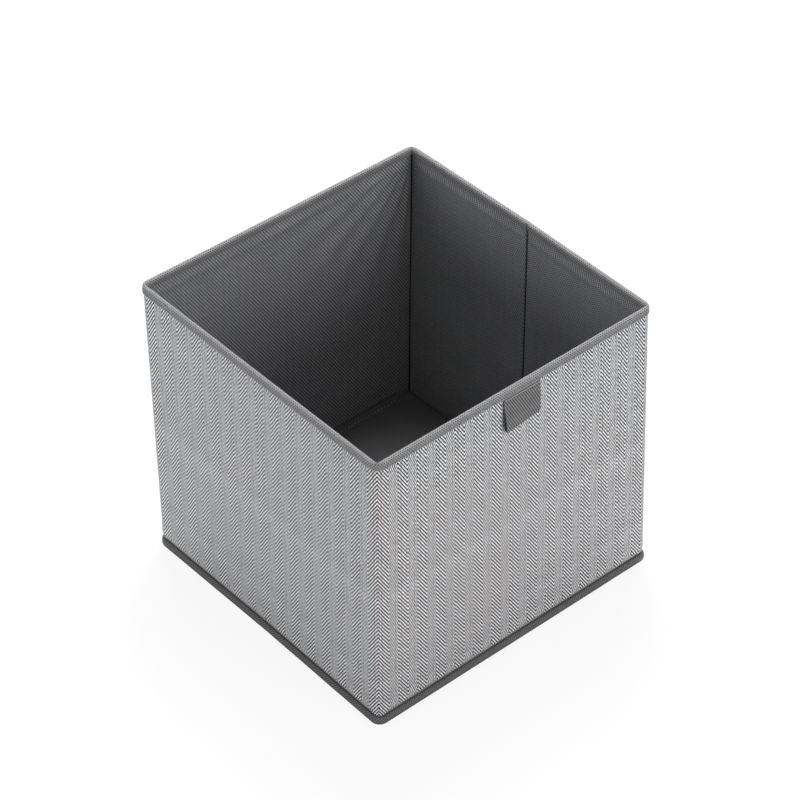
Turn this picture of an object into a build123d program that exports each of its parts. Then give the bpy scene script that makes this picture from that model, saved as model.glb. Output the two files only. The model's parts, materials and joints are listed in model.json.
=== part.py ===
from build123d import *
from math import sqrt
import os

# Folding fabric storage bin: a square cloth box, open at the top, stiffened by boards sewn between an outer
# cloth and a lining. The origin is the middle of the base, on the surface that the bin stands on, with +Z up.
# The front wall, which carries the pull tab, faces -Y. The two side walls fold inward at a middle crease,
# and the loose base board lifts about its rear edge before they do. All sizes are in millimetres.

# Whole bin, measured over the outer cloth
width = 300.0
depth = 300.0
height = 286.0
corner_radius = 8.0
least_corner_radius = 0.3

# Layers of a wall, from outside to inside
outer_cloth = 0.8
wall_board = 2.0
lining = 0.6

# Tape folded over the rim, and the thread that closes it
rim_tape = 0.8
rim_tape_leg = 7.5
rim_thread = 0.4
rim_thread_proud = 0.3
rim_thread_inset = 1.6

# Tape round the foot of the walls, the seam allowances turned in behind it, and the cloth under the base
base_tape = 1.0
base_tape_height = 12.0
base_seam_width = 8.0
base_seam_height = 4.0
bottom_cloth = 1.0

# Base board: a stiff core sewn into a dark cover, held along its rear edge by a tape
core_thickness = 2.5
cover_thickness = 0.5
board_edge_gap = 1.3
board_tape_width = 6.5
board_tape_thickness = 0.6
board_tape_end = 14.0
board_thread_proud = 0.3
stitch_length = 3.0
stitch_pitch = 6.0
stitch_width = 0.6

# Pull tab: one tape folded at its lower end, sewn on under the rim tape
tab_width = 40.5
tab_drop = 41.0
tab_offset = 3.0
tab_ply = 0.9
tab_slit = 0.4
tab_seam_below_tape = 3.0
tab_tail_inset = 2.5
tab_pocket_margin = 1.0
tab_thread_proud = 0.3
tab_thread_height = 0.6
tab_thread_inset = 2.0

# Room for the folds
hinge_gap = 0.3
layer_gap = 0.1
stack_clearance = 0.45
crease_clearance = 0.2
sweep_clearance = 0.5
board_lift_clearance = 0.4
board_rest_clearance = 0.3
board_crease_margin = 2.5
bottom_cloth_inset = 0.3

# Worked out from the sizes above
wall = outer_cloth + wall_board + lining
board_stack = core_thickness + 2 * cover_thickness
base_seam_z = bottom_cloth + board_rest_clearance
board_z = base_seam_z + base_seam_height
board_top_z = board_z + board_stack
wall_foot_z = board_top_z + board_tape_thickness + board_thread_proud + sweep_clearance
wall_top_z = height - rim_tape
corner_diagonal = (corner_radius - wall + lining) * sqrt(2) - corner_radius + outer_cloth + layer_gap
lining_corner = max(corner_diagonal / (sqrt(2) - 1), least_corner_radius + lining)
rim_corner = max(lining_corner - lining - rim_tape, least_corner_radius)
corner_pivot_x = width / 2 - wall - rim_tape
corner_pivot_y = depth / 2 - wall - rim_tape - board_stack - 2 * stack_clearance
crease_pivot_x = width / 2 + max(rim_tape + rim_thread_proud, base_tape) + crease_clearance
board_pivot_y = depth / 2 - wall - rim_tape - board_lift_clearance
tab_seam_z = height - rim_tape_leg - tab_seam_below_tape
tab_thickness = 2 * tab_ply + tab_slit
reach = width + depth


def block(x_low, x_high, y_low, y_high, z_low, z_high):
    """A box between two corners."""
    size = Box(x_high - x_low, y_high - y_low, z_high - z_low)
    return Pos((x_low + x_high) / 2, (y_low + y_high) / 2, (z_low + z_high) / 2) * size


def rounded_prism(inset, z_low, z_high, corner=None):
    """The bin's plan, moved in from the outer cloth by inset and raised between two heights."""
    radius = max(corner_radius - inset, least_corner_radius) if corner is None else corner
    plan = RectangleRounded(width - 2 * inset, depth - 2 * inset, radius)
    return Pos(0, 0, z_low) * extrude(plan, amount=z_high - z_low)


def ring(outer_inset, inner_inset, z_low, z_high):
    """One upright layer that runs all the way round the bin."""
    return rounded_prism(outer_inset, z_low, z_high) - rounded_prism(inner_inset, z_low, z_high)


def panel_regions():
    """The plan of each of the six stiff panels: what lies between two fold lines belongs to one panel."""
    fold = corner_pivot_y
    half_gap = hinge_gap / 2
    spans = {
        "rear": (-reach, reach, fold + half_gap, reach),
        "left_rear": (-reach, 0, half_gap, fold - half_gap),
        "left_front": (-reach, 0, half_gap - fold, -half_gap),
        "front": (-reach, reach, -reach, -fold - half_gap),
        "right_front": (0, reach, half_gap - fold, -half_gap),
        "right_rear": (0, reach, half_gap, fold - half_gap),
    }
    return {name: block(*span, -height, 2 * height) for name, span in spans.items()}


def split_by_panel(prefix, layer):
    """Cut a layer at the fold lines, one node for each panel."""
    return {f"{prefix}_{name}": layer & region for name, region in panel_regions().items()}


def outer_cloths():
    """Woven outer cloth of the walls."""
    return split_by_panel("outer_cloth", ring(0, outer_cloth, wall_foot_z, wall_top_z))


def inner_prism(z_low, z_high):
    """The room inside the lining, whose corners are sharper than the outer cloth's."""
    return rounded_prism(wall, z_low, z_high, max(lining_corner - lining, least_corner_radius))


def linings():
    """Thin lining of the walls."""
    skin = rounded_prism(wall - lining, wall_foot_z, wall_top_z, lining_corner)
    return split_by_panel("lining", skin - inner_prism(wall_foot_z, wall_top_z))


def rim_bindings():
    """Tape folded over the upper edge of the walls, with a pocket in front for the pull tab's tail."""
    low = height - rim_tape_leg
    tape = rounded_prism(-rim_tape, low, height) - rounded_prism(wall + rim_tape, low, height, rim_corner)
    tape -= rounded_prism(0, low, wall_top_z) - inner_prism(low, wall_top_z)
    bindings = split_by_panel("rim_binding", tape)
    half = tab_width / 2 + tab_pocket_margin
    face = -depth / 2
    tail_top = wall_top_z - tab_tail_inset
    raised = block(tab_offset - half, tab_offset + half, face - rim_tape - tab_ply, face, low, height)
    pocket = block(tab_offset - half + rim_tape, tab_offset + half - rim_tape, face - tab_ply, face, low,
                   tail_top)
    bindings["rim_binding_front"] = bindings["rim_binding_front"] + raised - pocket
    return bindings


def rim_threads():
    """Thread row near the lower edge of the rim tape, which passes over the raised part at the tab."""
    low = height - rim_tape_leg + rim_thread_inset
    row = ring(-rim_tape - rim_thread_proud, -rim_tape, low, low + rim_thread)
    threads = split_by_panel("rim_thread", row)
    half = tab_width / 2 + tab_pocket_margin
    face = -depth / 2 - rim_tape
    over = block(tab_offset - half - rim_thread_proud, tab_offset + half + rim_thread_proud,
                 face - tab_ply - rim_thread_proud, face, low, low + rim_thread)
    over -= block(tab_offset - half, tab_offset + half, face - tab_ply, face, low, low + rim_thread)
    under = block(tab_offset - half, tab_offset + half, face - rim_thread_proud, face, low, low + rim_thread)
    threads["rim_thread_front"] = threads["rim_thread_front"] - under + over
    return threads


def base_bindings():
    """Tape sewn round the foot of the walls, with the turned-in seam that the base board lies on."""
    tape = ring(-base_tape, 0, 0, base_tape_height)
    seam = ring(0, base_seam_width, base_seam_z, base_seam_z + base_seam_height - board_rest_clearance)
    return split_by_panel("base_binding", tape + seam)


def wall_boards():
    """Flat stiff boards in the pockets between outer cloth and lining, clear of the fold lines."""
    outer = outer_cloth
    inner = outer_cloth + wall_board
    side_low = board_crease_margin
    side_high = corner_pivot_y - board_crease_margin
    straight = width / 2 - corner_radius
    boards = {}
    for name, side in (("rear", 1), ("front", -1)):
        faces = sorted((side * (depth / 2 - inner), side * (depth / 2 - outer)))
        boards[f"wall_board_{name}"] = block(-straight, straight, *faces, wall_foot_z, wall_top_z)
    for side_name, side in (("left", -1), ("right", 1)):
        faces = sorted((side * (width / 2 - inner), side * (width / 2 - outer)))
        for end_name, end in (("rear", 1), ("front", -1)):
            ends = sorted((end * side_low, end * side_high))
            boards[f"wall_board_{side_name}_{end_name}"] = block(*faces, *ends, wall_foot_z, wall_top_z)
    return boards


def bottom_sheet():
    """Bottom cloth that closes the bin underneath, and on which it stands."""
    return {"bottom_cloth": rounded_prism(bottom_cloth_inset, 0, bottom_cloth)}


def base_board():
    """Base board, its cover in two halves, and the tape and stitches that hold its rear edge."""
    edge_gap = board_edge_gap + rim_corner - least_corner_radius
    half_x = width / 2 - wall - rim_tape - edge_gap
    front = -(depth / 2 - wall - rim_tape - edge_gap)
    rear = board_pivot_y - hinge_gap / 2
    core_low = board_z + cover_thickness
    core_high = core_low + core_thickness
    edge = cover_thickness
    core = block(edge - half_x, half_x - edge, front + edge, rear - edge, core_low, core_high)
    upper = block(-half_x, half_x, front, rear, core_low, board_top_z) - core
    lower = block(-half_x, half_x, front, rear, board_z, core_low)
    tape_half = half_x - board_tape_end
    tape_top = board_top_z + board_tape_thickness
    tape = block(-tape_half, tape_half, rear - board_tape_width, rear, board_top_z, tape_top)
    row_y = rear - board_tape_width / 2
    count = int((2 * tape_half - stitch_pitch) // stitch_pitch)
    stitches = []
    for index in range(count):
        middle = (index - (count - 1) / 2) * stitch_pitch
        stitches.append(block(middle - stitch_length / 2, middle + stitch_length / 2, row_y - stitch_width / 2,
                              row_y + stitch_width / 2, tape_top, tape_top + board_thread_proud))
    return {
        "base_board_core": core,
        "base_board_upper_cover": upper,
        "base_board_lower_cover": lower,
        "base_board_tape": tape,
        "base_board_stitches": Compound(children=stitches),
    }


def pull_tab():
    """Pull tab hanging from its seam, the tail that is caught under the rim tape, and the seam's thread."""
    left = tab_offset - tab_width / 2
    right = tab_offset + tab_width / 2
    face = -depth / 2
    low = height - tab_drop
    hang_high = tab_seam_z - hinge_gap / 2
    hang_back = face - tab_ply - hinge_gap
    hanging = block(left, right, hang_back - tab_thickness, hang_back, low, hang_high)
    hanging -= block(left, right, hang_back - tab_ply - tab_slit, hang_back - tab_ply, low + tab_ply, hang_high)
    tail = block(left, right, face - tab_ply, face, tab_seam_z + hinge_gap / 2, wall_top_z - tab_tail_inset)
    thread_low = height - rim_tape_leg - tab_thread_inset
    thread = block(left + tab_thread_inset, right - tab_thread_inset, face - tab_ply - tab_thread_proud,
                   face - tab_ply, thread_low, thread_low + tab_thread_height)
    return {"pull_tab": hanging, "pull_tab_tail": tail, "pull_tab_thread": thread}


def all_nodes():
    """Every separate piece of the bin by name."""
    nodes = {}
    for group in (outer_cloths, wall_boards, linings, rim_bindings, rim_threads, base_bindings, bottom_sheet,
                  base_board, pull_tab):
        nodes.update(group())
    return nodes


os.makedirs("parts", exist_ok=True)
for node, shape in all_nodes().items():
    export_step(shape, f"parts/{node}.step")
print(f"corner pivots at x {corner_pivot_x:.2f}, y {corner_pivot_y:.2f}")
print(f"crease pivots at x {crease_pivot_x:.2f}")
print(f"base board pivot at y {board_pivot_y:.2f}, z {board_top_z:.2f}; walls start at z {wall_foot_z:.2f}")
print(f"pull tab seam at y {-depth / 2 - tab_ply - hinge_gap:.2f}, z {tab_seam_z:.2f}")
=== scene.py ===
import json
import math

import bmesh
import bpy
from mathutils import Matrix, Vector, noise
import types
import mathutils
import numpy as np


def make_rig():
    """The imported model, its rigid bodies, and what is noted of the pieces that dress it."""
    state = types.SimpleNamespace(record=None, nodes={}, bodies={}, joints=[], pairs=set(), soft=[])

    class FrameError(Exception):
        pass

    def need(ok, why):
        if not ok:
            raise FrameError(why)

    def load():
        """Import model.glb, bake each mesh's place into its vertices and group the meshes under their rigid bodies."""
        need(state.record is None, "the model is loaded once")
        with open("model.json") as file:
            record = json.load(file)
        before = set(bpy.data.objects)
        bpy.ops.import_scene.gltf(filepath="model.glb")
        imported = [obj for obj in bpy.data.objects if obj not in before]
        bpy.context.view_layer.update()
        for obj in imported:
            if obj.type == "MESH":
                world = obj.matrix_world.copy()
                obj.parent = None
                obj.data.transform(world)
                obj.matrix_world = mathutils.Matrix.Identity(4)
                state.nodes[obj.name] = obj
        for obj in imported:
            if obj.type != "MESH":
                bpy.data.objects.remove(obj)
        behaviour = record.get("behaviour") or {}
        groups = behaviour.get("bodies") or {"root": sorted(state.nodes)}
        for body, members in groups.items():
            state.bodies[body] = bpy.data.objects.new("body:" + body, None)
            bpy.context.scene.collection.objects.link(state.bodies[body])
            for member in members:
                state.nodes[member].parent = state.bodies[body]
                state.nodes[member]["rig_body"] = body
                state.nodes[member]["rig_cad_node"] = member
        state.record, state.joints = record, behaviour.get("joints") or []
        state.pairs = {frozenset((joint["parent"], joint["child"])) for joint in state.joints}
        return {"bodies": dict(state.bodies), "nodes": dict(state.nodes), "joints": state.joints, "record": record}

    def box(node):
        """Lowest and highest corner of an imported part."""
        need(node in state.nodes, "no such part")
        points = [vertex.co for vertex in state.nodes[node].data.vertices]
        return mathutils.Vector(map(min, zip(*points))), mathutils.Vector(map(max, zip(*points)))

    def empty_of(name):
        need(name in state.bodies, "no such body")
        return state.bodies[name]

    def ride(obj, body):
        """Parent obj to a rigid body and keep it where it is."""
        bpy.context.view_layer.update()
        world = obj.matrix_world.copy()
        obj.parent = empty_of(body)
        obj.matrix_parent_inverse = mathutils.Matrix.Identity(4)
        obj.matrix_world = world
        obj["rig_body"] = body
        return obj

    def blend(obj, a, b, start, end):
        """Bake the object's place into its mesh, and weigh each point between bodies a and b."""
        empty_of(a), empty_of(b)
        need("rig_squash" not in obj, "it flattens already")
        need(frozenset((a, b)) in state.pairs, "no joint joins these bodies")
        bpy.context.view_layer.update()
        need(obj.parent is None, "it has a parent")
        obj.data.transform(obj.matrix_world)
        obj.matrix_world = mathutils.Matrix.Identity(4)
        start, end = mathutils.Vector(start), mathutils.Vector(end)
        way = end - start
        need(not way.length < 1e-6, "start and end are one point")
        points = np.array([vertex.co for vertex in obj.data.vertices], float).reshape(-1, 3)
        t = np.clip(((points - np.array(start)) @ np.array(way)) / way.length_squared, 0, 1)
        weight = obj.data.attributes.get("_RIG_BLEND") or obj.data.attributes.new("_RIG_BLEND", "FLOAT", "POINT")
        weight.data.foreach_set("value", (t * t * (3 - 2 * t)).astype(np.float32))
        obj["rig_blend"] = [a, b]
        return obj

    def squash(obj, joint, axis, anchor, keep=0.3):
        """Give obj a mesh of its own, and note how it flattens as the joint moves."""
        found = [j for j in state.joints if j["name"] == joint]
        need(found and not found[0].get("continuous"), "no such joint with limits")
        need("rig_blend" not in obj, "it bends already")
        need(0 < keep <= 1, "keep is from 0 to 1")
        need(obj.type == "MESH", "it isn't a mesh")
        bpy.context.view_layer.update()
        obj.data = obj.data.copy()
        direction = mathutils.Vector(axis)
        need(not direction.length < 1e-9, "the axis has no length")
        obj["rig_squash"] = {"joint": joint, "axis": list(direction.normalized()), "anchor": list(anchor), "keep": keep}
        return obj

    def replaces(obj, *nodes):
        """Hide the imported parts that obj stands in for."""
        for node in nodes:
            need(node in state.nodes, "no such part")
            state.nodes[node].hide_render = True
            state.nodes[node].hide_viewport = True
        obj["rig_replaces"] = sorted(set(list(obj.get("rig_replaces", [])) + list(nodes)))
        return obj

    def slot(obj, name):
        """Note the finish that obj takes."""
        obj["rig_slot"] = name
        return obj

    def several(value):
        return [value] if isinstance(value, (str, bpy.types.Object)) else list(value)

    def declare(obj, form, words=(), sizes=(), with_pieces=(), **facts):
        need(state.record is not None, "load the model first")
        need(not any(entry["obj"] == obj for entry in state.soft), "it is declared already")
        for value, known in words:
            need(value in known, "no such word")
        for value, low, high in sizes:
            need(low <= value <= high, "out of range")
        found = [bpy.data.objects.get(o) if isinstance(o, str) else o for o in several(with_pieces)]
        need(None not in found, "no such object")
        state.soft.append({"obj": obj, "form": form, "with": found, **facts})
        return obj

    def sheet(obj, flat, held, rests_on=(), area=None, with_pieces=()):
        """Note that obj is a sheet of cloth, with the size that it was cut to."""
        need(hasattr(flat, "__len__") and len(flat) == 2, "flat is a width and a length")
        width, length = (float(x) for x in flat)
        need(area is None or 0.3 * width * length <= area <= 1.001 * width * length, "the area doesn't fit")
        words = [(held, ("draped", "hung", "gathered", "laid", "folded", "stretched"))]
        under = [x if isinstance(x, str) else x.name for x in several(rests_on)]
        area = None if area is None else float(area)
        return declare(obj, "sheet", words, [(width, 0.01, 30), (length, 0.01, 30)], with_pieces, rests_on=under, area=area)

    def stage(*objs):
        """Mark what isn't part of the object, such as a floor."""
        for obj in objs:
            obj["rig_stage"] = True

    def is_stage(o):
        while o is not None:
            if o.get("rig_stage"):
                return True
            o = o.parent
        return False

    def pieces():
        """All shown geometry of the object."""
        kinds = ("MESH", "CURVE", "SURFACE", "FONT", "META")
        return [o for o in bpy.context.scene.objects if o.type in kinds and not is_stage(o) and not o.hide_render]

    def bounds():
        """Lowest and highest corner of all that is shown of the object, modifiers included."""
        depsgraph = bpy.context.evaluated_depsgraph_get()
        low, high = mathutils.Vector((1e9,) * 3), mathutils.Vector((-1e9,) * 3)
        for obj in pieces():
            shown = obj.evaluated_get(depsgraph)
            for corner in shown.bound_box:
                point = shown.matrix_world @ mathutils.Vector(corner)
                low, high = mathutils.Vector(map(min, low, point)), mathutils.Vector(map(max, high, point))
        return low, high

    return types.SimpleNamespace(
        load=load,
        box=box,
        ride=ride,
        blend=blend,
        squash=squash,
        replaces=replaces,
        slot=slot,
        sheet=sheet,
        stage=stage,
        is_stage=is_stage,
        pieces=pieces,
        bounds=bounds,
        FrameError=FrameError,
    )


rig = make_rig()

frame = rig.load()
cad_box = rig.bounds()


# ---- Outer cloth ----
# One long piece of two-tone herringbone cloth goes round the four walls, sewn in at the rim and the foot.
# It is made in six lengths that meet in the middle of the stiff panels: five that go round a fold, and a
# short one that ends at the rear right corner.
plan_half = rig.box("outer_cloth_rear")[1].x
rim_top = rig.box("rim_binding_rear")[1].z
wall_foot, wall_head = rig.box("outer_cloth_rear")[0].z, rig.box("outer_cloth_rear")[1].z
lining_inset = plan_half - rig.box("lining_right_rear")[0].x
corner_radius = 0.008
tightest_bend = 0.0008
corner_core = plan_half - corner_radius
straight = 2 * corner_core
corner_arc = corner_radius * math.pi / 2
quarter = straight + corner_arc
open_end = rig.box("lining_right_rear")[1].y + 0.00015 - corner_core
mid_left_rear, left_crease, mid_left_front = (
    quarter + corner_arc + straight * part for part in (0.25, 0.5, 0.75))
mid_front = 2 * quarter + corner_arc + straight * 0.5
mid_right_front, right_crease, mid_right_rear = (
    2 * quarter + part for part in (mid_left_rear, left_crease, mid_left_front))
front_left_spine = 2 * quarter + corner_arc / 2
folds = [n * quarter + corner_arc / 2 for n in range(5)] + [left_crease, right_crease]

# How far the sewn bin leans at its rim and foot in millimetres: left rear, right rear, right front, left front
rim_lean = [Vector(lean) for lean in ((1.5, 1.9), (-0.7, -1.2), (-2.6, 2.2), (-1.3, 2.0))]
foot_lean = [Vector(lean) for lean in ((0.6, -5.1), (0.2, 2.8), (6.6, -1.9), (-3.2, -0.5))]
tuck_sharpness = 10


def leant(point):
    """Where a point of a true square bin goes when its corners lean. The creases stay where they are."""
    right = min(max((1 + point.x / plan_half) / 2, 0), 1)
    depth = point.y / plan_half
    near, far = (3, 2) if depth < 0 else (0, 1)
    foot = foot_lean[near].lerp(foot_lean[far], right)
    if depth > 0:
        foot.y = foot_lean[far].y * right + foot_lean[near].y * (1 - right) ** tuck_sharpness
    rim = rim_lean[near].lerp(rim_lean[far], right)
    lean = foot.lerp(rim, point.z / rim_top) * abs(depth) / 1000
    return Vector((point.x + lean.x, point.y + lean.y, point.z))


def on_wall(along, inset, height):
    """A point of a wall, by how far it is round the bin, how far inside the outer face, and its height."""
    side = math.floor(along / quarter)
    rest = along - side * quarter
    if rest < corner_arc:
        turn = rest / corner_radius
        squared = min(max(inset / lining_inset, 0), 1)
        reach = 1 + squared * (1 / max(math.cos(turn), math.sin(turn)) - 1)
        reach *= max(corner_radius - inset, tightest_bend)
        point = Vector((corner_core + math.cos(turn) * reach, corner_core + math.sin(turn) * reach, height))
    else:
        point = Vector((corner_core - (rest - corner_arc), plan_half - inset, height))
    return Matrix.Rotation(side * math.pi / 2, 3, "Z") @ point


def fold_gap(along):
    """How far a place round the bin is from the nearest fold."""
    return min(abs(along - fold) for fold in folds)


def stations(start, end):
    """Distances round the bin from start to end, close together at the folds."""
    bend_half, finest, widest = 0.003, 0.0005, 0.0045
    places = [start]
    while True:
        step = min(max(0.22 * (fold_gap(places[-1]) - bend_half), finest), widest)
        if places[-1] + 1.5 * step > end:
            return places + [end]
        places.append(places[-1] + step)


def finished(name, mesh, material):
    """Makes a mesh into a smooth piece."""
    for face in mesh.faces:
        face.smooth = True
    for edge in mesh.edges:
        edge.smooth = not edge.is_boundary
    data = bpy.data.meshes.new(name)
    mesh.to_mesh(data)
    mesh.free()
    data.materials.append(material)
    piece = bpy.data.objects.new(name, data)
    bpy.context.scene.collection.objects.link(piece)
    return piece


def section_width(section):
    """The width of a tape or a strip when its section is laid flat."""
    return sum(math.dist(first, second) for first, second in zip(section, section[1:]))


def swept(mesh, section, places, placed):
    """Sweeps an open section of (inset, height) points through places, with the flat cloth in its UV map."""
    along, across, inset, height = (
        mesh.verts.layers.float.new(label) for label in ("along", "across", "inset", "height"))
    walked, verts = 0.0, []
    for index, (deep, high) in enumerate(section):
        walked += math.dist(section[index - 1], section[index]) if index else 0
        vert = mesh.verts.new()
        vert[along], vert[across], vert[inset], vert[height] = places[0], walked, deep, high
        verts.append(vert)
    edges = [mesh.edges.new(pair) for pair in zip(verts, verts[1:])]
    for place in places[1:]:
        made = bmesh.ops.extrude_edge_only(mesh, edges=edges)["geom"]
        edges = [part for part in made if isinstance(part, bmesh.types.BMEdge)]
        for vert in made:
            if isinstance(vert, bmesh.types.BMVert):
                vert[along] = place
    cloth = mesh.loops.layers.uv.new("cloth")
    for face in mesh.faces:
        for loop in face.loops:
            loop[cloth].uv = (loop.vert[along], loop.vert[across])
    for vert in mesh.verts:
        vert.co = placed(vert[along], vert[across], vert[inset], vert[height])


def sewn_length(name, section, run, material, thickness, swell=None, face_out=True):
    """Sweeps a section along one length of the walls, and gives it its thickness behind its face."""
    mesh = bmesh.new()

    def placed(along, across, inset, height):
        out = swell(along, across, height) if swell else 0
        return leant(on_wall(along, inset - out, height))

    swept(mesh, section, stations(*lengths[run][:2]), placed)
    if not face_out:
        bmesh.ops.reverse_faces(mesh, faces=mesh.faces)
    return thicken(finished(name, mesh, material), thickness)


def thicken(piece, thickness):
    """Gives a sheet its thickness, behind its face."""
    solid = piece.modifiers.new("thickness", "SOLIDIFY")
    solid.thickness = thickness
    solid.offset = -1
    return piece


# How wide the bend in the cloth is: all of it at a corner, half of it at a crease
corner_bend = 0.0065
crease_bend = 0.0025


def bend_at_corner(x, y, from_end_wall):
    """The line along which a corner bends, from the tip of the end wall to the side wall, or back."""
    tip = Vector((x * plan_half, y * plan_half, 0))
    side = tip + Vector((x, -y, 0)) * corner_bend
    return (tip, side) if from_end_wall else (side, tip)


def bend_at_crease(x, way):
    """The line along which a side wall bends at its crease."""
    return Vector((x * plan_half, -way * crease_bend, 0)), Vector((x * plan_half, way * crease_bend, 0))


# Each length: where it starts and ends round the bin, the bodies that it joins, its bend and its panels
lengths = {
    "rear": (open_end, mid_left_rear, "rear_wall", "left_rear_panel", bend_at_corner(-1, 1, True),
             ("rear", "left_rear")),
    "left_crease": (mid_left_rear, mid_left_front, "left_rear_panel", "left_front_panel",
                    bend_at_crease(-1, -1), ("left_rear", "left_front")),
    "front_left": (mid_left_front, mid_front, "left_front_panel", "front_wall",
                   bend_at_corner(-1, -1, False), ("left_front", "front")),
    "front_right": (mid_front, mid_right_front, "front_wall", "right_front_panel",
                    bend_at_corner(1, -1, True), ("front", "right_front")),
    "right_crease": (mid_right_front, mid_right_rear, "right_front_panel", "right_rear_panel",
                     bend_at_crease(1, 1), ("right_front", "right_rear")),
    "right_rear": (mid_right_rear, 4 * quarter + open_end, "right_rear_panel", None, None, ("right_rear",)),
}


def fold_with_bin(piece, run, layer):
    """Bends a length with the panels that it joins, in place of that layer's CAD nodes."""
    first, second, bend, panels = lengths[run][2:]
    if second:
        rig.blend(piece, first, second, *bend)
    else:
        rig.ride(piece, first)
    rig.replaces(piece, *[f"{layer}_{panel}" for panel in panels])


def wired(tree, kind, place, settings=None, inputs=None):
    """Adds a node at a column and row, sets it, and joins or fills its inputs."""
    made = tree.nodes.new(kind)
    made.location = (200 * place[0], -180 * place[1])
    for key, value in (settings or {}).items():
        setattr(made, key, value)
    for key, value in (inputs or {}).items():
        if isinstance(value, bpy.types.NodeSocket):
            tree.links.new(value, made.inputs[key])
        else:
            made.inputs[key].default_value = value
    return made


def maths(tree, place, operation, *values):
    """A Math node's result."""
    made = wired(tree, "ShaderNodeMath", place, {"operation": operation}, dict(enumerate(values)))
    return made.outputs[0]


def mixed(tree, place, amount, first, second, blend="MIX"):
    """A colour Mix node's result."""
    made = wired(tree, "ShaderNodeMix", place, {"data_type": "RGBA", "blend_type": blend},
                 {0: amount, 6: first, 7: second})
    return made.outputs[2]


def greyed(tree, place, colour, shade):
    """A colour made lighter or darker by a number."""
    grey = wired(tree, "ShaderNodeCombineColor", (place[0], place[1] + 1), None,
                 {0: shade, 1: shade, 2: shade})
    return mixed(tree, place, 1.0, colour, grey.outputs[0], "MULTIPLY")


def new_group(name, inputs, outputs):
    """An empty shader group with the named sockets."""
    group = bpy.data.node_groups.new(name, "ShaderNodeTree")
    for label, default in inputs:
        socket = group.interface.new_socket(label, in_out="INPUT", socket_type="NodeSocketFloat")
        socket.default_value = default
    for label in outputs:
        group.interface.new_socket(label, in_out="OUTPUT", socket_type="NodeSocketFloat")
    return group, group.nodes.new("NodeGroupInput").outputs, group.nodes.new("NodeGroupOutput").inputs


def twill_group():
    """Twill weave: which thread is on top, how its back is crowned, and how light each thread is."""
    group, given, out = new_group(
        "twill_weave", (("End", 0), ("Pick", 0), ("Repeat", 4), ("Over", 2), ("Slant", 1)),
        ("Face", "Crown", "Shade"))
    end = maths(group, (1, 0), "FLOOR", given["End"])
    pick = maths(group, (1, 1), "FLOOR", given["Pick"])
    phase = maths(group, (3, 0), "MULTIPLY_ADD", end, given["Slant"], pick)
    step = maths(group, (4, 0), "FLOORED_MODULO", phase, given["Repeat"])
    last = maths(group, (4, 1), "SUBTRACT", given["Over"], 0.5)
    face = maths(group, (5, 0), "LESS_THAN", step, last)
    backs = []
    for row, label in ((2, "End"), (3, "Pick")):
        part = maths(group, (2, row), "FRACT", given[label])
        swing = maths(group, (3, row), "MULTIPLY_ADD", part, 2.0, -1.0)
        square = maths(group, (4, row), "MULTIPLY", swing, swing)
        backs.append(maths(group, (5, row), "SUBTRACT", 1.0, square))
    crown = wired(group, "ShaderNodeMix", (6, 2), {"data_type": "FLOAT"},
                  {0: face, 2: backs[1], 3: backs[0]})
    shades = []
    for row, thread, seed in ((4, end, 3.7), (5, pick, 51.3)):
        seeded = maths(group, (3, row), "ADD", thread, seed)
        shades.append(wired(group, "ShaderNodeTexWhiteNoise", (4, row), {"noise_dimensions": "1D"},
                            {"W": seeded}).outputs["Value"])
    yarn = wired(group, "ShaderNodeMix", (6, 4), {"data_type": "FLOAT"},
                 {0: face, 2: shades[1], 3: shades[0]})
    end_pair = maths(group, (5, 6), "SNAP", end, 2.0)
    pick_pair = maths(group, (5, 7), "SNAP", pick, 2.0)
    crossing = wired(group, "ShaderNodeCombineXYZ", (6, 6), None, {0: end_pair, 1: pick_pair, 2: face})
    fleck = wired(group, "ShaderNodeTexWhiteNoise", (7, 6), {"noise_dimensions": "3D"},
                  {"Vector": crossing.outputs[0]}).outputs["Value"]
    half_fleck = maths(group, (8, 6), "MULTIPLY", fleck, 0.5)
    shade = maths(group, (8, 4), "MULTIPLY_ADD", yarn.outputs[0], 0.5, half_fleck)
    for label, value in (("Face", face), ("Crown", crown.outputs[0]), ("Shade", shade)):
        group.links.new(value, out[label])
    return group


twill = twill_group()


def new_material(name, roughness, specular=0.25):
    """A material with a plain shader."""
    made = bpy.data.materials.new(name)
    made.use_nodes = True
    shader = made.node_tree.nodes["Principled BSDF"]
    shader.inputs["Roughness"].default_value = roughness
    shader.inputs["Specular IOR Level"].default_value = specular
    return made, made.node_tree, shader


def cloth_place(tree):
    """Where a point is on the flat cloth, in metres along and across."""
    place = wired(tree, "ShaderNodeUVMap", (-9, 0), {"uv_map": "cloth"}).outputs[0]
    parts = wired(tree, "ShaderNodeSeparateXYZ", (-8, 0), None, {0: place})
    return place, parts.outputs["X"], parts.outputs["Y"]


def mottled(tree, place, where, scale, low, high, seed=0.0):
    """Soft uneven shade from low to high."""
    tex = wired(tree, "ShaderNodeTexNoise", place, {"noise_dimensions": "4D"},
                {"Vector": where, "W": seed, "Scale": scale, "Detail": 4.0})
    return maths(tree, (place[0] + 1, place[1]), "MULTIPLY_ADD", tex.outputs[0], high - low, low)


def bumped(tree, shader, height, distance, strength):
    """Joins a height from 0 to 1 to the shader's normal, as a relief of that distance in metres."""
    bump = wired(tree, "ShaderNodeBump", (-1, 4), None,
                 {"Height": height, "Distance": distance, "Strength": strength})
    tree.links.new(bump.outputs[0], shader.inputs["Normal"])


column_width = 0.010
ends_per_column = 16
herringbone_end_pitch, herringbone_pick_pitch = column_width / ends_per_column, 0.00105
light_yarn, dark_yarn = (0.83, 0.842, 0.862, 1), (0.012, 0.012, 0.014, 1)


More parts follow.
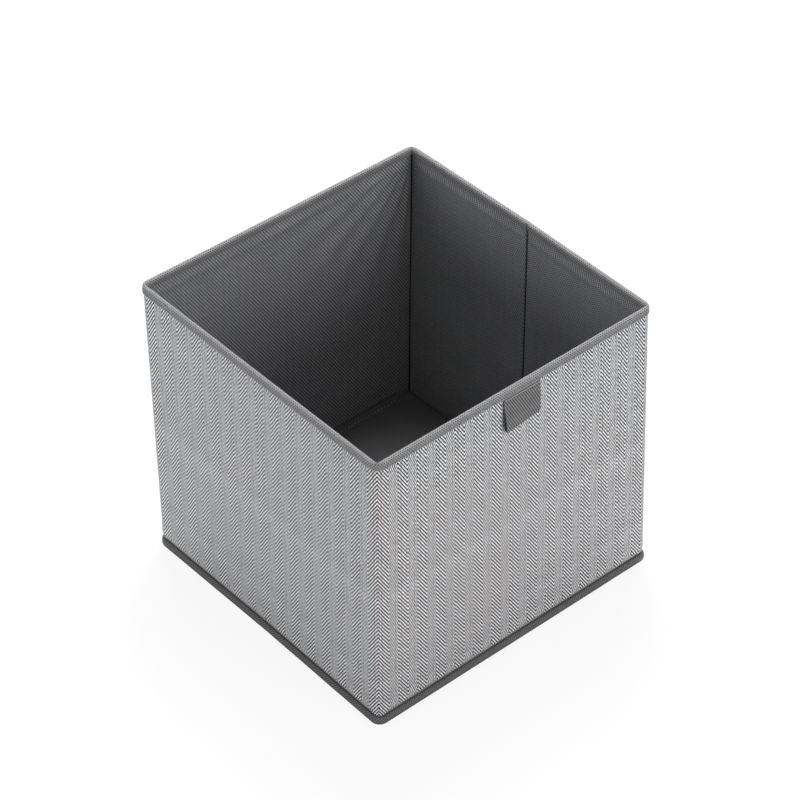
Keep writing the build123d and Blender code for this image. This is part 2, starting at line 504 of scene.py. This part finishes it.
def herringbone_material():
    """Light ends over dark picks, in columns whose slant turns back at each spine."""
    made, tree, shader = new_material("herringbone_cloth", 0.85, 0.2)
    place, along, up = cloth_place(tree)
    from_spine = maths(tree, (-7, 0), "SUBTRACT", along, front_left_spine)
    turned = maths(tree, (-6, 0), "PINGPONG", from_spine, column_width)
    end = maths(tree, (-5, 0), "DIVIDE", turned, herringbone_end_pitch)
    pick = maths(tree, (-5, 1), "DIVIDE", up, herringbone_pick_pitch)
    weave = wired(tree, "ShaderNodeGroup", (-4, 0), {"node_tree": twill},
                  {"End": end, "Pick": pick, "Repeat": 4.0, "Over": 2.0, "Slant": 1.0})
    yarn = mixed(tree, (-3, 0), weave.outputs["Face"], dark_yarn, light_yarn)
    shade = maths(tree, (-3, 2), "MULTIPLY_ADD", weave.outputs["Shade"], 0.7, 0.5)
    shade = maths(tree, (-2, 2), "MULTIPLY", shade, mottled(tree, (-4, 3), place, 45.0, 0.92, 1.08))
    tree.links.new(greyed(tree, (-1, 0), yarn, shade), shader.inputs["Base Color"])
    bumped(tree, shader, weave.outputs["Crown"], 0.00012, 0.6)
    return made


herringbone = herringbone_material()
outer_cloth_thickness = 0.0008
outer_cloth_foot = 0.0085
tucked_under_rim = 0.002
rim_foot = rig.box("rim_binding_rear")[0].z
cloth_rows = 60


def crease_dip(along, depth, width):
    """How far a layer is drawn into the gap between the boards at the side walls' creases."""
    gap = min(abs(along - left_crease), abs(along - right_crease))
    return depth * math.exp(-(gap / width) ** 2)


def eased(part):
    """A share from 0 to 1, slow at both ends."""
    part = min(max(part, 0.0), 1.0)
    return part * part * (3 - 2 * part)


def spaced(low, high, count):
    """Evenly spaced heights or distances from low to high."""
    return [low + (high - low) * n / count for n in range(count + 1)]


def cloth_swell(along, across, height):
    """The cloth stands a little off its boards between the seams, and is tucked in under both tapes."""
    from_seam = min((height - wall_foot) / 0.02, (wall_head - height) / 0.03)
    held = min(1.0, fold_gap(along) / 0.03) * max(0.0, min(1.0, from_seam))
    wave = noise.noise(Vector((along * 16, height * 12, 0.0)))
    foot_tuck = 0.0014 * eased((0.0150 - height) / 0.0035)
    foot_tuck -= 0.0005 * eased(1 - abs(height - 0.0175) / 0.005)
    head_tuck = 0.0006 * eased((height - (rim_foot - 0.0030)) / 0.0025)
    return held * (0.00035 + 0.0005 * wave) - crease_dip(along, 0.0005, 0.0012) - foot_tuck - head_tuck


for run, (start, end, *_, panels) in lengths.items():
    rows = spaced(outer_cloth_foot, wall_head - tucked_under_rim, cloth_rows)
    piece = sewn_length(f"woven_cloth_{run}", [(0.0, row) for row in rows], run, herringbone,
                        outer_cloth_thickness, cloth_swell)
    fold_with_bin(piece, run, "outer_cloth")
    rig.slot(piece, "herringbone_cloth")
    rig.sheet(piece, flat=(end - start, rows[-1] - rows[0]), held="stretched",
             rests_on=[f"wall_boards_{panel}" for panel in panels])


# ---- Wall boards ----
# Six flat greyboards stiffen the walls. They are slipped between the outer cloth and the lining, and stop
# short of the folds, which are cloth only.
board_face, board_thickness = 0.00095, 0.0018
board_grey = (0.24, 0.215, 0.185, 1)
short_of_corner = 0.0005


def board_material():
    """Pressed grey board with fibres."""
    made, tree, shader = new_material("stiff_board", 0.9, 0.1)
    where = wired(tree, "ShaderNodeTexCoord", (-6, 0)).outputs["Object"]
    fibre = mottled(tree, (-4, 1), where, 900.0, 0.75, 1.2)
    shade = maths(tree, (-2, 1), "MULTIPLY", fibre, mottled(tree, (-4, 2), where, 60.0, 0.85, 1.1, 2.0))
    tree.links.new(greyed(tree, (-1, 0), board_grey, shade), shader.inputs["Base Color"])
    bumped(tree, shader, fibre, 0.0001, 0.4)
    return made


greyboard = board_material()
board_spans = {}
for panel in ("rear", "left_rear", "left_front", "front", "right_front", "right_rear"):
    low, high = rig.box(f"wall_board_{panel}")
    if panel in ("rear", "front"):
        first = (0 if panel == "rear" else 2) * quarter + corner_arc
        board_spans[panel] = (first + short_of_corner, first + straight - short_of_corner)
    else:
        first, sign = (quarter + corner_arc, -1) if low.x < 0 else (3 * quarter + corner_arc, 1)
        board_spans[panel] = sorted(first + corner_core + sign * y for y in (low.y, high.y))
for panel, (start, end) in board_spans.items():
    mesh = bmesh.new()
    swept(mesh, [(board_face, row) for row in spaced(wall_foot, wall_head, 20)], spaced(start, end, 24),
          lambda along, across, inset, height: leant(on_wall(along, inset, height)))
    piece = thicken(finished(f"wall_boards_{panel}", mesh, greyboard), board_thickness)
    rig.ride(piece, f"{panel}_{'wall' if panel in ('rear', 'front') else 'panel'}")
    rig.replaces(piece, f"wall_board_{panel}")
    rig.slot(piece, "stiff_board")


# ---- Lining ----
# A thin dark twill lining covers the boards inside. It is sewn in at the rim and the foot only, so it hangs
# in shallow folds, and it is drawn into the gap between the boards at each crease.
lining_thickness = 0.0005
lining_foot = 0.0055
lining_end_pitch, lining_pick_pitch = 0.00093, 0.00145
lining_dark, lining_light = (0.12, 0.122, 0.127, 1), (0.38, 0.384, 0.392, 1)


def lining_material():
    """Fine dark twill whose ends are a little lighter, with painted shade darkening it to a dark line at the corners
    and creases.
    """
    made, tree, shader = new_material("lining_cloth", 0.65, 0.4)
    place, along, up = cloth_place(tree)
    end = maths(tree, (-5, 0), "DIVIDE", along, lining_end_pitch)
    pick = maths(tree, (-5, 1), "DIVIDE", up, lining_pick_pitch)
    weave = wired(tree, "ShaderNodeGroup", (-4, 0), {"node_tree": twill},
                  {"End": end, "Pick": pick, "Repeat": 3.0, "Over": 1.0, "Slant": -1.0})
    thread = mixed(tree, (-3, 0), weave.outputs["Face"], lining_dark, lining_light)
    shade = maths(tree, (-3, 2), "MULTIPLY_ADD", weave.outputs["Shade"], 0.3, 0.85)
    shade = maths(tree, (-2, 2), "MULTIPLY", shade, mottled(tree, (-4, 3), place, 30.0, 0.9, 1.1, 5.0))
    # Painted shade: the colour is darkened to a thin dark line along each corner and crease.
    from_corner = maths(tree, (-7, 4), "SUBTRACT", along, folds[0])
    to_corner = maths(tree, (-6, 4), "PINGPONG", from_corner, quarter / 2)
    from_crease = maths(tree, (-7, 5), "SUBTRACT", along, left_crease)
    to_crease = maths(tree, (-6, 5), "PINGPONG", from_crease, quarter)
    nearest = maths(tree, (-5, 4), "MINIMUM", to_corner, to_crease)
    painted_crease_shade = wired(tree, "ShaderNodeMapRange", (-4, 5), {"interpolation_type": "SMOOTHSTEP"},
                    {0: nearest, 1: 0.0005, 2: 0.0014, 3: 0.12, 4: 1.0}).outputs[0]
    shade = maths(tree, (-1, 2), "MULTIPLY", shade, painted_crease_shade)
    tree.links.new(greyed(tree, (0, 0), thread, shade), shader.inputs["Base Color"])
    bumped(tree, shader, weave.outputs["Crown"], 0.0001, 0.6)
    return made


lining_twill = lining_material()
lining_rows = 90


def lining_swell(along, across, height):
    """Shallow folds of the lining, drawn toward the rim's rear corner, and its dip at each crease."""
    from_seam = min((height - wall_foot) / 0.03, (rim_foot - height) / 0.008)
    held = eased(fold_gap(along) / 0.012) * eased(from_seam)
    wave = noise.noise(Vector((along * 24 + height * 14, height * 16 - along * 8, 3.0)))
    down, aside = rim_top - height, max(along - folds[0], 0.0)
    reach = math.hypot(down, aside)
    fan = math.sin(24 * math.atan2(down, aside + 0.004))
    drawn = 0.0010 * eased(reach / 0.04) * eased((0.22 - reach) / 0.14) * fan
    roll = 0.0010 * eased(1 - abs(height - (rim_foot - 0.0075)) / 0.0065)
    corner = min(abs(along - fold) for fold in folds[:5])
    dip = crease_dip(along, 0.0022, 0.0009) + 0.0006 * math.exp(-(corner / 0.0011) ** 2)
    return dip - held * (0.0007 + 0.0009 * wave + drawn + roll)


for run, (start, end, *_, panels) in lengths.items():
    rows = spaced(lining_foot, wall_head - tucked_under_rim, lining_rows)
    piece = sewn_length(f"inner_lining_{run}", [(lining_inset, row) for row in rows], run, lining_twill,
                        lining_thickness, lining_swell, face_out=False)
    fold_with_bin(piece, run, "lining")
    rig.slot(piece, "lining_cloth")
    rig.sheet(piece, flat=(end - start, rows[-1] - rows[0]), held="hung",
             rests_on=[f"wall_boards_{panel}" for panel in panels])


# ---- Rim tape ----
# Grey twill tape is folded over the top of the walls, and one row of stitches through the wall holds both of
# its legs. It rides up over the tail of the pull tab in the middle of the front wall.
tape_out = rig.box("rim_binding_left_rear")[0].x + plan_half
tape_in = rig.box("rim_binding_left_rear")[1].x + plan_half
tape_thickness = 0.0007
outer_leg = 0.006
tab_left, tab_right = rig.box("pull_tab")[0].x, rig.box("pull_tab")[1].x
tab_from, tab_to = (mid_front + x for x in (tab_left, tab_right))


def tape_material(name, light, dark, pitches, repeat, slant, seed, groove=0.0):
    """Twill tape: light ends and dark dots between them, with painted shade darkening its first edge where it lies in a
    groove.
    """
    end_pitch, pick_pitch = pitches
    made, tree, shader = new_material(name, 0.75, 0.3)
    place, along, up = cloth_place(tree)
    end = maths(tree, (-5, 0), "DIVIDE", along, end_pitch)
    pick = maths(tree, (-5, 1), "DIVIDE", up, pick_pitch)
    weave = wired(tree, "ShaderNodeGroup", (-4, 0), {"node_tree": twill},
                  {"End": end, "Pick": pick, "Repeat": repeat, "Over": 1.0, "Slant": slant})
    yarn = mixed(tree, (-3, 0), weave.outputs["Face"], light, dark)
    shade = maths(tree, (-3, 2), "MULTIPLY_ADD", weave.outputs["Shade"], 0.3, 0.85)
    shade = maths(tree, (-2, 2), "MULTIPLY", shade, mottled(tree, (-4, 3), place, 120.0, 0.88, 1.12, seed))
    if groove:
        # Painted shade: the band along the tape's first edge is darkened in its colour, as if shaded in the groove.
        painted_groove_shade = wired(tree, "ShaderNodeMapRange", (-3, 5), {"interpolation_type": "SMOOTHSTEP"},
                     {0: up, 1: 0.6 * groove, 2: groove, 3: 0.3, 4: 1.0}).outputs[0]
        shade = maths(tree, (-1, 2), "MULTIPLY", shade, painted_groove_shade)
    tree.links.new(greyed(tree, (-1, 0), yarn, shade), shader.inputs["Base Color"])
    bumped(tree, shader, weave.outputs["Crown"], 0.00015, 0.7)
    return made


rim_twill = tape_material("rim_tape", (0.255, 0.255, 0.26, 1), (0.012, 0.012, 0.013, 1),
                          pitches=(0.0012, 0.0008), repeat=4.0, slant=2.0, seed=1.0)


def over_the_tab(along, height):
    """How far the rim tape rides up over the tail of the pull tab."""
    side = min(along - (tab_from - 0.0012), (tab_to + 0.0012) - along)
    beside = min(max(side / 0.0016, 0), 1)
    below = min(max((rim_top - 0.001 - height) / 0.002, 0), 1)
    return tape_thickness * beside * below


def tape_swell(along, across, height):
    """The tape is a little uneven along its length, raised at the pull tab, and drawn in at the creases."""
    out = 0.00012 * noise.noise(Vector((along * 60, height * 40, 7.0)))
    if across < outer_leg:
        return out + over_the_tab(along, height)
    return out + crease_dip(along, 0.0012, 0.0010) * eased((rim_top - 0.0005 - height) / 0.003)


roll_half, roll_rise, roll_steps = (tape_in - tape_out) / 2, 0.0030, 12
rim_section = [
    (tape_out + 0.0006, rim_foot), (tape_out + 0.0001, rim_foot + 0.0002),
    (tape_out - 0.0001, rim_foot + 0.0007), (tape_out + 0.0001, rim_foot + 0.0016),
    (tape_out, rim_foot + 0.0028)]
for n in range(1, roll_steps):
    turn = math.pi * n / roll_steps
    deep, down = roll_half * (1 - math.cos(turn)), roll_rise * (1 - math.sin(turn))
    rim_section.append((tape_out + deep, rim_top - down))
rim_section += [
    (tape_in, rim_foot + 0.0040), (tape_in, rim_foot + 0.0020), (tape_in - 0.0001, rim_foot + 0.0006),
    (tape_in - 0.0006, rim_foot)]
rim_tape_width = section_width(rim_section)
for run, (start, end, *_, panels) in lengths.items():
    piece = sewn_length(f"rim_tape_{run}", rim_section, run, rim_twill, tape_thickness, tape_swell)
    fold_with_bin(piece, run, "rim_binding")
    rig.slot(piece, "rim_tape")
    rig.sheet(piece, flat=(end - start, rim_tape_width), held="folded",
             rests_on=[f"woven_cloth_{run}", f"inner_lining_{run}"])


def thread_material(name, colour):
    """Spun polyester thread with a slight twist."""
    made, tree, shader = new_material(name, 0.5, 0.4)
    where = wired(tree, "ShaderNodeTexCoord", (-6, 0)).outputs["Object"]
    shade = mottled(tree, (-3, 1), where, 1400.0, 0.7, 1.25)
    tree.links.new(greyed(tree, (-1, 0), colour, shade), shader.inputs["Base Color"])
    bumped(tree, shader, shade, 0.0001, 0.4)
    return made


def stitch(mesh, place, way, out, length, width):
    """One stitch, a short rounded thread that lies along its way."""
    across = way.cross(out)
    turn = Matrix((way * length / 2, across * width / 2, out * width / 2)).transposed().to_4x4()
    laid = Matrix.Translation(place) @ turn @ Matrix.Rotation(math.pi / 2, 4, "Y")
    bmesh.ops.create_uvsphere(mesh, u_segments=6, v_segments=4, radius=1, matrix=laid)


def wall_stitches(name, run, height, inset, material, swell):
    """A row of stitches along one length of the walls, on the swollen face of a tape."""
    pitch, length, width = 0.0032, 0.0024, 0.0004
    start, end = lengths[run][:2]
    mesh = bmesh.new()
    first = math.ceil(start / pitch + 0.5)
    for index in range(first, math.floor(end / pitch - 0.5) + 1):
        here = index * pitch
        face = inset - swell(here, 0, height)
        ends = [leant(on_wall(here + part, face, height)) for part in (-0.0005, 0.0005)]
        way = (ends[1] - ends[0]).normalized()
        stitch(mesh, (ends[0] + ends[1]) / 2, way, way.cross(Vector((0, 0, 1))), length, width)
    return finished(name, mesh, material)


grey_thread = thread_material("rim_thread", (0.17, 0.17, 0.175, 1))
rim_stitch_height = (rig.box("rim_thread_rear")[0].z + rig.box("rim_thread_rear")[1].z) / 2
rim_stitch_inset = tape_out - 0.0001
for run in lengths:
    piece = wall_stitches(f"rim_stitches_{run}", run, rim_stitch_height, rim_stitch_inset, grey_thread,
                          tape_swell)
    fold_with_bin(piece, run, "rim_thread")
    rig.slot(piece, "sewing_thread")


# ---- Base tape ----
# A darker tape wraps the seam at the foot of the walls. It is stitched in a groove under the outer cloth,
# bulges over the seam allowances, and is turned in under the base board.
# The base tape's first 4.8 mm across carry painted shade, where it lies in the groove under the outer cloth.
base_twill = tape_material("base_tape", (0.16, 0.16, 0.165, 1), (0.03, 0.03, 0.032, 1),
                           pitches=(0.0009, 0.0009), repeat=3.0, slant=1.0, seed=4.0, groove=0.0048)
base_tape_thickness = 0.0008
base_tape_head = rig.box("base_binding_left_rear")[1].z
seam_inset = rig.box("base_binding_left_rear")[1].x + plan_half
base_section = [
    (0.0020, base_tape_head), (0.0014, base_tape_head - 0.0010), (0.0012, base_tape_head - 0.0022),
    (0.0009, base_tape_head - 0.0030), (0.0000, base_tape_head - 0.0038), (-0.0009, 0.0070), (-0.0014, 0.0054),
    (-0.0015, 0.0038), (-0.0013, 0.0024), (-0.0007, 0.0012), (0.0004, 0.0004), (0.0018, 0.0001), (0.0045, 0.0),
    (seam_inset - 0.0016, 0.0), (seam_inset - 0.0005, 0.0006), (seam_inset, 0.0018),
    (seam_inset - 0.0002, 0.0033), (seam_inset - 0.0012, 0.0044), (seam_inset - 0.0030, 0.0048),
    (0.0024, 0.0049)]
base_tape_width = section_width(base_section)


def base_swell(along, across, height):
    """The roll is fuller in some places than in others."""
    full = max(0.0, 1 - abs(across - 0.009) / 0.005)
    return 0.0004 * full * noise.noise(Vector((along * 25, 0.0, 11.0)))


for run, (start, end, *_, panels) in lengths.items():
    piece = sewn_length(f"base_tape_{run}", base_section, run, base_twill, base_tape_thickness, base_swell,
                        face_out=False)
    fold_with_bin(piece, run, "base_binding")
    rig.slot(piece, "base_tape")
    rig.sheet(piece, flat=(end - start, base_tape_width), held="folded", rests_on=["studio_floor"])


# ---- Bottom cloth ----
# A dark cloth closes the bin underneath. It is caught in the seam at the foot, and gathers under the rear
# wall when the bin folds.
bottom_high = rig.box("bottom_cloth")[1]


def nonwoven_material(name, colour, specular):
    """Pressed cloth with a fine grain of fused dots."""
    made, tree, shader = new_material(name, 0.6, specular)
    where = wired(tree, "ShaderNodeTexCoord", (-6, 0)).outputs["Object"]
    dots = wired(tree, "ShaderNodeTexVoronoi", (-4, 3), {"feature": "SMOOTH_F1"},
                 {"Vector": where, "Scale": 700.0}).outputs["Distance"]
    shade = maths(tree, (-2, 1), "MULTIPLY", mottled(tree, (-4, 1), where, 800.0, 0.85, 1.15),
                  mottled(tree, (-4, 2), where, 25.0, 0.85, 1.15, 4.0))
    tree.links.new(greyed(tree, (-1, 0), colour, shade), shader.inputs["Base Color"])
    bumped(tree, shader, dots, 0.00015, 0.4)
    return made


bottom_grey = nonwoven_material("bottom_cloth", (0.045, 0.045, 0.048, 1), 0.2)
bottom_thickness = 0.0004
short_of_tape = 0.004
bottom_mesh = bmesh.new()
bmesh.ops.create_grid(bottom_mesh, x_segments=48, y_segments=48, size=1)
for vert in bottom_mesh.verts:
    x, y = vert.co.x * (bottom_high.x - short_of_tape), vert.co.y * (bottom_high.y - short_of_tape)
    sag = 0.0007 + 0.0003 * noise.noise(Vector((x * 18, y * 18, 5.0)))
    vert.co = leant(Vector((x, y, sag)))
bottom_piece = finished("bottom_cloth_sheet", bottom_mesh, bottom_grey)
thicken(bottom_piece, bottom_thickness)
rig.ride(bottom_piece, "rear_wall")
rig.squash(bottom_piece, "wall_fold", axis=(0, 1, 0), anchor=(0, bottom_high.y, 0), keep=0.1)
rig.replaces(bottom_piece, "bottom_cloth")
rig.slot(bottom_piece, "bottom_cloth")
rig.sheet(bottom_piece, flat=(bottom_high.x * 2, bottom_high.y * 2), held="laid", rests_on=["studio_floor"])


# ---- Base board ----
# A loose stiff board lies on the turned-in seam. It is sewn into a smooth dark cover, and a strip of the same
# cloth, stitched along its rear edge, hinges it to the rear wall.
board_low, board_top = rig.box("base_board_lower_cover")[0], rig.box("base_board_upper_cover")[1]
core_low, core_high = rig.box("base_board_core")
cover_cloth = nonwoven_material("board_cover", (0.115, 0.115, 0.12, 1), 0.2)
cover_thickness, strip_thickness = 0.0004, 0.0005


def slab(name, low, high, material, rounding, sag=0.0):
    """A flat board with rounded edges, leaning with the bin."""
    mesh = bmesh.new()
    bmesh.ops.create_grid(mesh, x_segments=30, y_segments=30, size=0.5)
    size = high - low
    bmesh.ops.scale(mesh, vec=(size.x, size.y, 1), verts=mesh.verts)
    bmesh.ops.translate(mesh, vec=((low.x + high.x) / 2, (low.y + high.y) / 2, low.z), verts=mesh.verts)
    raised = bmesh.ops.extrude_face_region(mesh, geom=mesh.faces[:])["geom"]
    top = [part for part in raised if isinstance(part, bmesh.types.BMVert)]
    bmesh.ops.translate(mesh, vec=(0, 0, size.z), verts=top)
    bmesh.ops.recalc_face_normals(mesh, faces=mesh.faces)
    rims = [edge for edge in mesh.edges if edge.calc_face_angle(0) > 1]
    bmesh.ops.bevel(mesh, geom=rims, offset=rounding, offset_type="OFFSET", segments=3, profile=0.5,
                    affect="EDGES", material=-1)
    for vert in mesh.verts:
        x, y, z = vert.co
        wave = sag * noise.noise(Vector((x * 14, y * 14, 9.0))) if z > low.z + 0.001 else 0
        vert.co = leant(Vector((x, y, z + wave)))
    return finished(name, mesh, material)


core_piece = slab("base_board_stiffener", core_low + Vector((0.0003, 0.0003, 0.0002)),
                  core_high - Vector((0.0003, 0.0003, 0.0003)), greyboard, 0.0003)
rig.ride(core_piece, "base_board")
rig.replaces(core_piece, "base_board_core")
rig.slot(core_piece, "stiff_board")
cover_piece = slab("base_board_cover", board_low, board_top, cover_cloth, 0.0012, 0.0002)
thicken(cover_piece, cover_thickness)
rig.ride(cover_piece, "base_board")
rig.replaces(cover_piece, "base_board_upper_cover", "base_board_lower_cover")
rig.slot(cover_piece, "board_cover")
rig.sheet(cover_piece, flat=(board_top.x - board_low.x, 2 * (board_top.y - board_low.y)), held="stretched",
         rests_on=["base_board_stiffener"])

strip_low, strip_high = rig.box("base_board_tape")
strip_section = [
    (strip_low.y, 0.0089), (strip_low.y + 0.0002, 0.0096), (strip_low.y + 0.0010, 0.0099),
    (strip_low.y + 0.0022, 0.0099), (strip_low.y + 0.0038, 0.0097), (strip_high.y - 0.0012, 0.0095),
    (strip_high.y - 0.0002, 0.0095), (strip_high.y + 0.0006, 0.0099), (strip_high.y + 0.0011, 0.0109),
    (strip_high.y + 0.0012, 0.0140)]


def strip_place(along, across, y, z):
    """The strip is pulled a little uneven by its stitches."""
    return leant(Vector((along, y, z + 0.00015 * noise.noise(Vector((along * 70, y * 90, 2))))))


strip_mesh = bmesh.new()
swept(strip_mesh, strip_section, spaced(strip_low.x, strip_high.x, 70), strip_place)
strip_piece = thicken(finished("board_hinge_strip", strip_mesh, cover_cloth), strip_thickness)
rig.blend(strip_piece, "base_board", "rear_wall",
         (0, strip_high.y - 0.0012, 0.009), (0, strip_high.y + 0.0010, 0.009))
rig.replaces(strip_piece, "base_board_tape")
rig.slot(strip_piece, "board_cover")
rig.sheet(strip_piece, flat=(strip_high.x - strip_low.x, section_width(strip_section)), held="stretched",
         rests_on=["base_board_cover"])

pale_thread = thread_material("board_thread", (0.62, 0.62, 0.62, 1))
strip_stitch_mesh = bmesh.new()
strip_stitch_pitch, strip_stitch_length, strip_stitch_width = 0.0040, 0.0020, 0.0007
strip_stitch_y, strip_stitch_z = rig.box("base_board_stitches")[0].y + 0.0003, 0.0098
strip_stitch_count = int((strip_high.x - strip_low.x - 0.006) / strip_stitch_pitch)
for index in range(strip_stitch_count):
    x = (index - (strip_stitch_count - 1) / 2) * strip_stitch_pitch
    where = leant(Vector((x, strip_stitch_y, strip_stitch_z)))
    stitch(strip_stitch_mesh, where, Vector((1, 0, 0)), Vector((0, 0, 1)), strip_stitch_length,
           strip_stitch_width)
stitches_piece = finished("board_strip_stitches", strip_stitch_mesh, pale_thread)
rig.ride(stitches_piece, "base_board")
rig.replaces(stitches_piece, "base_board_stitches")
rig.slot(stitches_piece, "sewing_thread")


# ---- Pull tab ----
# A short loop of the rim's twill tape hangs from the middle of the front rim. Its two plies are caught under
# the rim tape and stitched, and the loop swings on that seam.
tab_low, tab_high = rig.box("pull_tab")
tab_twill = tape_material("tab_tape", (0.185, 0.185, 0.19, 1), (0.008, 0.008, 0.009, 1),
                          pitches=(0.0008, 0.0015), repeat=3.0, slant=-1.0, seed=8.0)
tab_seam, tab_foot = tab_high.z, tab_low.z
tab_section = [
    (-0.0002, rim_top - 0.0035), (-0.0005, rim_foot + 0.0015), (-0.0009, rim_foot - 0.0004),
    (-0.0013, tab_seam + 0.0005), (-0.0018, tab_seam - 0.0030), (-0.0026, tab_seam - 0.0100),
    (-0.0034, tab_seam - 0.0180), (-0.0038, tab_foot + 0.0070), (-0.0038, tab_foot + 0.0030),
    (-0.0034, tab_foot + 0.0010), (-0.0025, tab_foot), (-0.0016, tab_foot + 0.0009),
    (-0.0012, tab_foot + 0.0030), (-0.0011, tab_foot + 0.0100), (-0.0010, tab_seam - 0.0080),
    (-0.0009, tab_seam - 0.0010)]
tab_corner = 0.0035
tab_flare = 0.0018
front_ply = -0.0015
tab_middle = (tab_left + tab_right) / 2


def tab_place(along, across, inset, height):
    """The tab is rounded at its two lower corners, and its front ply stands off the wall at its left edge."""
    lift = max(0.0, tab_foot + tab_corner - height)
    draw = tab_corner - math.sqrt(tab_corner ** 2 - min(lift, tab_corner) ** 2)
    half = (tab_right - tab_left) / 2
    x = tab_middle + (along - tab_middle) * (half - 0.7 * draw) / half
    flare = tab_flare * ((tab_middle - x) / half) * min(1.0, max(0.0, (tab_seam - height) / 0.02))
    return leant(on_wall(mid_front + x, inset - (flare if inset < front_ply else 0), height))


tab_mesh = bmesh.new()
swept(tab_mesh, tab_section, spaced(tab_left, tab_right, 20), tab_place)
bmesh.ops.reverse_faces(tab_mesh, faces=tab_mesh.faces)
tab_piece = thicken(finished("pull_tab_loop", tab_mesh, tab_twill), tape_thickness)
smooth = tab_piece.modifiers.new("softness", "SUBSURF")
smooth.levels = smooth.render_levels = 1
seam_y = tab_high.y
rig.blend(tab_piece, "front_wall", "pull_tab", (0, seam_y, tab_seam + 0.0012), (0, seam_y, tab_seam - 0.0014))
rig.replaces(tab_piece, "pull_tab", "pull_tab_tail")
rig.slot(tab_piece, "tab_tape")
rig.sheet(tab_piece, flat=(tab_right - tab_left, section_width(tab_section)), held="folded",
         rests_on=["woven_cloth_front_left", "woven_cloth_front_right"])

tab_thread = thread_material("tab_thread", (0.50, 0.50, 0.50, 1))
tab_stitch_mesh = bmesh.new()
tab_stitch_z = (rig.box("pull_tab_thread")[0].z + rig.box("pull_tab_thread")[1].z) / 2
tab_stitch_count, tab_stitch_margin = 15, 0.0015
tab_stitch_length, tab_stitch_width = 0.0024, 0.0008
tab_stitch_span = tab_right - tab_left - 2 * tab_stitch_margin
for index in range(tab_stitch_count):
    x = tab_left + tab_stitch_margin + tab_stitch_span * (index + 0.5) / tab_stitch_count
    where = leant(on_wall(mid_front + x, -0.0014, tab_stitch_z))
    stitch(tab_stitch_mesh, where, Vector((1, 0, 0)), Vector((0, -1, 0)), tab_stitch_length, tab_stitch_width)
tab_stitches = finished("pull_tab_stitches", tab_stitch_mesh, tab_thread)
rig.ride(tab_stitches, "front_wall")
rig.replaces(tab_stitches, "pull_tab_thread")
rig.slot(tab_stitches, "sewing_thread")


# ---- Studio ----
# The bin stands on a wide pale floor in an evenly lit white room. Three soft lights hang behind it, in front
# of it and to its left, and the camera looks down on its front left corner.
floor_mesh = bmesh.new()
bmesh.ops.create_grid(floor_mesh, x_segments=1, y_segments=1, size=6)
floor_data = bpy.data.meshes.new("studio_floor")
floor_mesh.to_mesh(floor_data)
floor_mesh.free()
studio_floor = bpy.data.objects.new("studio_floor", floor_data)
bpy.context.scene.collection.objects.link(studio_floor)
floor_material, floor_tree, floor_shader = new_material("studio_floor", 0.9, 0.0)
floor_shader.inputs["Base Color"].default_value = (0.8, 0.8, 0.8, 1)
seen = wired(floor_tree, "ShaderNodeLightPath", (0, 3)).outputs["Is Camera Ray"]
glow = wired(floor_tree, "ShaderNodeEmission", (0, 2), None, {"Color": (1, 1, 1, 1), "Strength": 1.0})
glow_share = maths(floor_tree, (1, 3), "MULTIPLY", seen, 0.9)
surface = wired(floor_tree, "ShaderNodeMixShader", (2, 0), None,
                {0: glow_share, 1: floor_shader.outputs[0], 2: glow.outputs[0]})
floor_tree.links.new(surface.outputs[0], floor_tree.nodes["Material Output"].inputs["Surface"])
studio_floor.data.materials.append(floor_material)
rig.stage(studio_floor)

world = bpy.data.worlds.new("studio_world")
world.use_nodes = True
bpy.context.scene.world = world
room_light, room_shown = 0.34, 1.0
background = world.node_tree.nodes["Background"]
background.inputs["Color"].default_value = (1, 1, 1, 1)
world_seen = wired(world.node_tree, "ShaderNodeLightPath", (-3, 0)).outputs["Is Camera Ray"]
world_strength = maths(world.node_tree, (-2, 0), "MULTIPLY_ADD", world_seen,
                       room_shown - room_light, room_light)
world.node_tree.links.new(world_strength, background.inputs["Strength"])
lit_point = Vector((0, 0, 0.2))


def soft_light(name, place, size, power):
    """A round soft light, in metres and watts, turned toward the bin."""
    lamp = bpy.data.lights.new(name, "AREA")
    lamp.shape = "DISK"
    lamp.size = size
    lamp.energy = power
    made = bpy.data.objects.new(name, lamp)
    made.location = place
    made.rotation_euler = (lit_point - Vector(place)).to_track_quat("-Z", "Y").to_euler()
    bpy.context.scene.collection.objects.link(made)


soft_light("top_light", place=(0.5, 0.55, 1.8), size=0.9, power=54)
soft_light("front_light", place=(0.4, -2.1, 0.95), size=1.0, power=21.5)
soft_light("left_light", place=(-2.2, 0.5, 0.6), size=0.8, power=15)

bpy.context.scene.view_settings.view_transform = "Standard"
camera_data = bpy.data.cameras.new("camera")
camera_data.lens = 142.3
camera_data.sensor_width = 36
camera_data.clip_end = 100
camera = bpy.data.objects.new("camera", camera_data)
azimuth, elevation, distance = math.radians(-41.49), math.radians(40.46), 2.70719
looked_at = Vector((0.02539, 0.02467, 0.143))
back = Vector((math.sin(azimuth) * math.cos(elevation), -math.cos(azimuth) * math.cos(elevation),
               math.sin(elevation)))
camera.location = looked_at + back * distance
camera.rotation_mode = "QUATERNION"
camera.rotation_quaternion = (-back).to_track_quat("-Z", "Y")
bpy.context.scene.collection.objects.link(camera)
bpy.context.scene.camera = camera

box_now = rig.bounds()
with open("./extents.json", "w") as sizes:
    json.dump({"cad": [list(corner) for corner in cad_box], "visual": [list(corner) for corner in box_now]},
              sizes)
